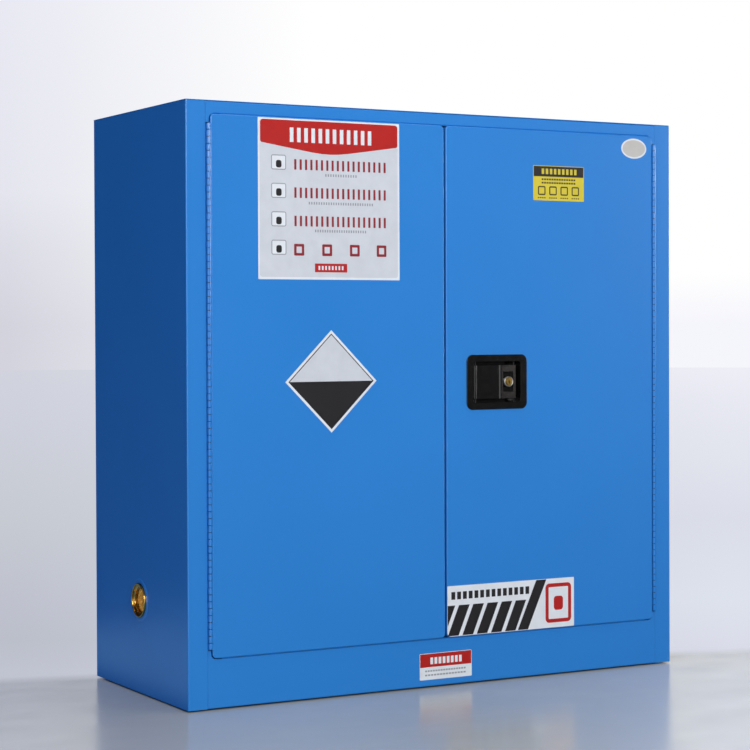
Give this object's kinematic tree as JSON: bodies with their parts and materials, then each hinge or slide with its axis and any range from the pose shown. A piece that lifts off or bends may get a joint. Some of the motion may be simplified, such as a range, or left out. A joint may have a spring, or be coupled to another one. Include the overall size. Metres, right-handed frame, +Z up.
{
  "type": "flammable safety cabinet",
  "caption": "Double-wall steel safety cabinet with hinged doors, a recessed pull handle with a key lock, side vents, an adjustable shelf, a leak-tight sump and levelling feet.",
  "frame": {"origin": "on the floor under the middle of the cabinet", "axes": "+Z up, -Y towards the doors, +X to the viewer's right when facing the doors"},
  "size_m": [1.104, 0.4679, 1.12],
  "materials": {
    "paint": "satin",
    "liner": "satin",
    "steel": "satin",
    "zinc": "satin",
    "brass": "satin",
    "gloss_black": "gloss",
    "black_nylon": "matte"
  },
  "bodies": {
    "cabinet": {"left_side_panel": "paint", "right_side_panel": "paint", "left_door_jamb": "paint", "right_door_jamb": "paint", "top_panel": "paint", "back_panel": "paint", "base_panel": "paint", "top_rail": "paint", "bottom_rail": "paint", "top_keeper": "zinc", "bottom_keeper": "zinc", "left_liner": "liner", "right_liner": "liner", "roof_liner": "liner", "rear_liner": "liner", "sump_tray": "liner", "shelf_bracket_front_left": "zinc", "shelf_bracket_back_left": "zinc", "shelf_bracket_front_right": "zinc", "shelf_bracket_back_right": "zinc", "shelf": "zinc", "left_vent_body": "brass", "left_vent_screen": "brass", "left_vent_nut": "zinc", "right_vent_body": "brass", "right_vent_screen": "brass", "right_vent_nut": "zinc", "ground_stud": "zinc", "ground_nut": "brass", "left_frame_hinge_leaf": "paint", "right_frame_hinge_leaf": "paint", "left_hinge_pin": "steel", "right_hinge_pin": "steel"},
    "foot_front_left": {"levelling_foot_front_left": "zinc"},
    "foot_front_right": {"levelling_foot_front_right": "zinc"},
    "foot_back_left": {"levelling_foot_back_left": "zinc"},
    "foot_back_right": {"levelling_foot_back_right": "zinc"},
    "left_door": {"left_door_hinge_leaf": "paint", "left_door_skin": "paint", "left_door_liner": "liner", "left_door_strike": "zinc"},
    "right_door": {"right_door_hinge_leaf": "paint", "right_door_skin": "paint", "right_door_liner": "liner", "latch_dish": "gloss_black", "flap_pin": "steel", "handle_pin": "steel", "top_rod_guide": "black_nylon", "bottom_rod_guide": "black_nylon"},
    "push_flap": {"push_flap": "gloss_black"},
    "pull_handle": {"pull_handle": "gloss_black", "lock_cylinder": "zinc"},
    "lock": {"lock_plug": "brass", "lock_cam": "zinc"},
    "latch_hub": {"latch_hub": "zinc"},
    "top_rod": {"top_rod": "steel"},
    "bottom_rod": {"bottom_rod": "steel"},
    "centre_bolt": {"centre_bolt": "steel"},
    "drive_link": {"drive_link": "zinc"}
  },
  "joints": [
    {"name": "left_door_hinge", "type": "hinge", "parent": "cabinet", "child": "left_door", "pos_m": [-0.5017, -0.234, 0.595], "axis": [0, 0, -1], "range_deg": [0, 175]},
    {"name": "right_door_hinge", "type": "hinge", "parent": "cabinet", "child": "right_door", "pos_m": [0.5017, -0.234, 0.595], "axis": [0, 0, 1], "range_deg": [0, 175]},
    {"name": "flap_hinge", "type": "hinge", "parent": "right_door", "child": "push_flap", "pos_m": [0.0695, -0.2295, 0.594], "axis": [0, 0, 1], "range_deg": [0, 16], "stiffness_Nm_per_rad": 0.1, "springref_deg": -17.19},
    {"name": "handle_hinge", "type": "hinge", "parent": "right_door", "child": "pull_handle", "pos_m": [0.1625, -0.226, 0.594], "axis": [0, 0, 1], "range_deg": [0, 40], "stiffness_Nm_per_rad": 0.5, "springref_deg": -17.19},
    {"name": "lock_turn", "type": "hinge", "parent": "pull_handle", "child": "lock", "pos_m": [0.1475, -0.224, 0.594], "axis": [0, 1, 0], "range_deg": [0, 90]},
    {"name": "hub_turn", "type": "hinge", "parent": "right_door", "child": "latch_hub", "pos_m": [0.1175, -0.205, 0.594], "axis": [0, 1, 0], "range_deg": [0, 34]},
    {"name": "top_rod_slide", "type": "slide", "parent": "right_door", "child": "top_rod", "axis": [0, 0, -1], "range_m": [0, 0.0141]},
    {"name": "bottom_rod_slide", "type": "slide", "parent": "right_door", "child": "bottom_rod", "axis": [0, 0, 1], "range_m": [0, 0.0141]},
    {"name": "centre_bolt_slide", "type": "slide", "parent": "right_door", "child": "centre_bolt", "axis": [1, 0, 0], "range_m": [0, 0.0141]},
    {"name": "drive_link_slide", "type": "slide", "parent": "right_door", "child": "drive_link", "axis": [-1, 0, 0], "range_m": [0, 0.0141]},
    {"name": "foot_front_left_turn", "type": "hinge", "parent": "cabinet", "child": "foot_front_left", "pos_m": [-0.49, -0.1632, 0.015], "axis": [0, 0, 1], "continuous": true},
    {"name": "foot_front_right_turn", "type": "hinge", "parent": "cabinet", "child": "foot_front_right", "pos_m": [0.49, -0.1632, 0.015], "axis": [0, 0, 1], "continuous": true},
    {"name": "foot_back_left_turn", "type": "hinge", "parent": "cabinet", "child": "foot_back_left", "pos_m": [-0.49, 0.175, 0.015], "axis": [0, 0, 1], "continuous": true},
    {"name": "foot_back_right_turn", "type": "hinge", "parent": "cabinet", "child": "foot_back_right", "pos_m": [0.49, 0.175, 0.015], "axis": [0, 0, 1], "continuous": true}
  ],
  "couplings": [
    {"joint": "hub_turn", "follows": "handle_hinge", "ratio": 0.83556},
    {"joint": "top_rod_slide", "follows": "handle_hinge", "m_per_rad": 0.020053},
    {"joint": "bottom_rod_slide", "follows": "handle_hinge", "m_per_rad": 0.020053},
    {"joint": "centre_bolt_slide", "follows": "handle_hinge", "m_per_rad": 0.020053},
    {"joint": "drive_link_slide", "follows": "handle_hinge", "m_per_rad": 0.020053}
  ]
}
